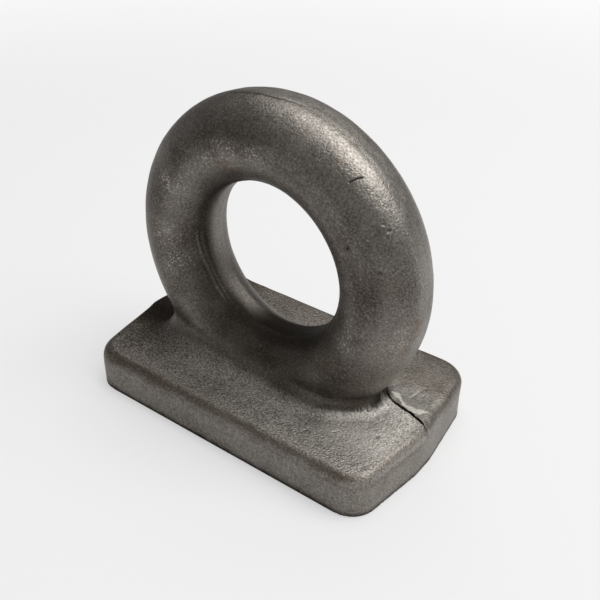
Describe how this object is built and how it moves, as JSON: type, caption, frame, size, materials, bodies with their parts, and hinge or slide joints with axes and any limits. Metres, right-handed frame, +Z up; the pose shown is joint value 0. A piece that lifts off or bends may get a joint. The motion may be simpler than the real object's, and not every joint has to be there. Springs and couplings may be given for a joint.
{
  "type": "weld-on eye plate",
  "caption": "Heavy forged eye ring standing on an oblong base that is welded to a deck or frame; takes a shackle, hook or lashing through the eye.",
  "frame": {"origin": "on the weld face, under the middle of the eye", "axes": "+X along the base, +Y through the eye, +Z up from the weld face"},
  "size_m": [0.1774, 0.1055, 0.1645],
  "materials": {
    "forged_steel": "shot-blasted forged steel, dark grey-brown, bare and uncoated"
  },
  "bodies": {
    "root": {"eye_plate": "forged_steel"}
  },
  "joints": []
}
